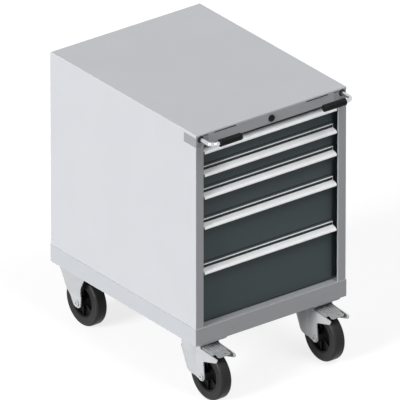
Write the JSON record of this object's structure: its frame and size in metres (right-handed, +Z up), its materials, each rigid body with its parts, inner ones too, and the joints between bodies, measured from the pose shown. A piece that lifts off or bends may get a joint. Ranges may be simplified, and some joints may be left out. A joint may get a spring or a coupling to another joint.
{
  "type": "rolling tool cabinet",
  "caption": "Steel tool cabinet on castors with full-width drawers, a central lock, bent push handles at the front and brake pedals on its swivelling front castors.",
  "frame": {"origin": "centre of the bounding box on the floor that the wheels stand on", "axes": "+Z up, -Y towards the drawer fronts and push handles, +X to the right as seen from the front"},
  "size_m": [0.568, 0.791, 0.897],
  "materials": {
    "light_grey_paint": "fine-textured powder coat",
    "mid_grey_paint": "fine-textured powder coat",
    "slate_grey_paint": "fine-textured powder coat",
    "anodised_aluminium": "satin anodised extrusion",
    "zinc_plated_steel": "satin zinc plating",
    "chrome_plating": "polished",
    "black_plastic": "matte",
    "black_rubber": "matte"
  },
  "bodies": {
    "cabinet": {"base_frame": "light_grey_paint", "base_front": "mid_grey_paint", "floor_sheet": "light_grey_paint", "side_panel_left": "light_grey_paint", "side_panel_right": "light_grey_paint", "back_panel": "light_grey_paint", "top_plate": "light_grey_paint", "front_post_left": "mid_grey_paint", "front_post_right": "mid_grey_paint", "lock_rail": "mid_grey_paint", "rail_caps": "mid_grey_paint", "runner_uprights": "light_grey_paint", "fixed_runners": "zinc_plated_steel", "push_handle_left": "chrome_plating", "push_handle_right": "chrome_plating", "push_grips": "black_plastic", "handle_sockets": "zinc_plated_steel", "lock_housing": "black_plastic", "castor_plates": "zinc_plated_steel", "rear_bracket_left": "zinc_plated_steel", "rear_bracket_right": "zinc_plated_steel", "rear_axles": "zinc_plated_steel", "castor_bolts": "zinc_plated_steel"},
    "lock": {"lock_core": "black_plastic"},
    "lock_bar": {"lock_bar": "zinc_plated_steel"},
    "drawer_1": {"drawer_tray_1": "slate_grey_paint", "drawer_front_1": "slate_grey_paint", "drawer_grip_1": "anodised_aluminium"},
    "runners_1": {"runner_members_1": "zinc_plated_steel"},
    "drawer_2": {"drawer_tray_2": "slate_grey_paint", "drawer_front_2": "slate_grey_paint", "drawer_grip_2": "anodised_aluminium"},
    "runners_2": {"runner_members_2": "zinc_plated_steel"},
    "drawer_3": {"drawer_tray_3": "slate_grey_paint", "drawer_front_3": "slate_grey_paint", "drawer_grip_3": "anodised_aluminium"},
    "runners_3": {"runner_members_3": "zinc_plated_steel"},
    "drawer_4": {"drawer_tray_4": "slate_grey_paint", "drawer_front_4": "slate_grey_paint", "drawer_grip_4": "anodised_aluminium"},
    "runners_4": {"runner_members_4": "zinc_plated_steel"},
    "drawer_5": {"drawer_tray_5": "slate_grey_paint", "drawer_front_5": "slate_grey_paint", "drawer_grip_5": "anodised_aluminium"},
    "runners_5": {"runner_members_5": "zinc_plated_steel"},
    "fork_left": {"castor_fork_left": "zinc_plated_steel", "castor_axle_left": "zinc_plated_steel"},
    "pedal_left": {"brake_pedal_left": "zinc_plated_steel"},
    "front_wheel_left": {"front_tyre_left": "black_rubber", "front_hub_left": "black_plastic"},
    "rear_wheel_left": {"rear_tyre_left": "black_rubber", "rear_hub_left": "black_plastic"},
    "fork_right": {"castor_fork_right": "zinc_plated_steel", "castor_axle_right": "zinc_plated_steel"},
    "pedal_right": {"brake_pedal_right": "zinc_plated_steel"},
    "front_wheel_right": {"front_tyre_right": "black_rubber", "front_hub_right": "black_plastic"},
    "rear_wheel_right": {"rear_tyre_right": "black_rubber", "rear_hub_right": "black_plastic"}
  },
  "joints": [
    {"name": "lock_turn", "type": "hinge", "parent": "cabinet", "child": "lock", "pos_m": [0, -0.3295, 0.874], "axis": [0, -1, 0], "range_deg": [0, 90]},
    {"name": "lock_bar_lift", "type": "slide", "parent": "cabinet", "child": "lock_bar", "axis": [0, 0, 1], "range_m": [0, 0.00905]},
    {"name": "drawer_1_slide", "type": "slide", "parent": "cabinet", "child": "drawer_1", "axis": [0, -1, 0], "range_m": [0, 0.6]},
    {"name": "runners_1_slide", "type": "slide", "parent": "cabinet", "child": "runners_1", "axis": [0, -1, 0], "range_m": [0, 0.3]},
    {"name": "drawer_2_slide", "type": "slide", "parent": "cabinet", "child": "drawer_2", "axis": [0, -1, 0], "range_m": [0, 0.6]},
    {"name": "runners_2_slide", "type": "slide", "parent": "cabinet", "child": "runners_2", "axis": [0, -1, 0], "range_m": [0, 0.3]},
    {"name": "drawer_3_slide", "type": "slide", "parent": "cabinet", "child": "drawer_3", "axis": [0, -1, 0], "range_m": [0, 0.6]},
    {"name": "runners_3_slide", "type": "slide", "parent": "cabinet", "child": "runners_3", "axis": [0, -1, 0], "range_m": [0, 0.3]},
    {"name": "drawer_4_slide", "type": "slide", "parent": "cabinet", "child": "drawer_4", "axis": [0, -1, 0], "range_m": [0, 0.6]},
    {"name": "runners_4_slide", "type": "slide", "parent": "cabinet", "child": "runners_4", "axis": [0, -1, 0], "range_m": [0, 0.3]},
    {"name": "drawer_5_slide", "type": "slide", "parent": "cabinet", "child": "drawer_5", "axis": [0, -1, 0], "range_m": [0, 0.6]},
    {"name": "runners_5_slide", "type": "slide", "parent": "cabinet", "child": "runners_5", "axis": [0, -1, 0], "range_m": [0, 0.3]},
    {"name": "fork_left_swivel", "type": "hinge", "parent": "cabinet", "child": "fork_left", "pos_m": [-0.214, -0.2615, 0.197], "axis": [0, 0, 1], "continuous": true},
    {"name": "pedal_left_press", "type": "hinge", "parent": "fork_left", "child": "pedal_left", "pos_m": [-0.214, -0.3105, 0.166], "axis": [1, 0, 0], "range_deg": [0, 17]},
    {"name": "front_wheel_left_roll", "type": "hinge", "parent": "fork_left", "child": "front_wheel_left", "pos_m": [-0.214, -0.3145, 0.08], "axis": [1, 0, 0], "continuous": true},
    {"name": "rear_wheel_left_roll", "type": "hinge", "parent": "cabinet", "child": "rear_wheel_left", "pos_m": [-0.214, 0.3075, 0.08], "axis": [1, 0, 0], "continuous": true},
    {"name": "fork_right_swivel", "type": "hinge", "parent": "cabinet", "child": "fork_right", "pos_m": [0.214, -0.2615, 0.197], "axis": [0, 0, 1], "continuous": true},
    {"name": "pedal_right_press", "type": "hinge", "parent": "fork_right", "child": "pedal_right", "pos_m": [0.214, -0.3105, 0.166], "axis": [1, 0, 0], "range_deg": [0, 17]},
    {"name": "front_wheel_right_roll", "type": "hinge", "parent": "fork_right", "child": "front_wheel_right", "pos_m": [0.214, -0.3145, 0.08], "axis": [1, 0, 0], "continuous": true},
    {"name": "rear_wheel_right_roll", "type": "hinge", "parent": "cabinet", "child": "rear_wheel_right", "pos_m": [0.214, 0.3075, 0.08], "axis": [1, 0, 0], "continuous": true}
  ],
  "couplings": [
    {"joint": "lock_turn", "follows": "lock_bar_lift", "rad_per_m": 173.57},
    {"joint": "runners_1_slide", "follows": "drawer_1_slide", "ratio": 0.5},
    {"joint": "runners_2_slide", "follows": "drawer_2_slide", "ratio": 0.5},
    {"joint": "runners_3_slide", "follows": "drawer_3_slide", "ratio": 0.5},
    {"joint": "runners_4_slide", "follows": "drawer_4_slide", "ratio": 0.5},
    {"joint": "runners_5_slide", "follows": "drawer_5_slide", "ratio": 0.5}
  ]
}
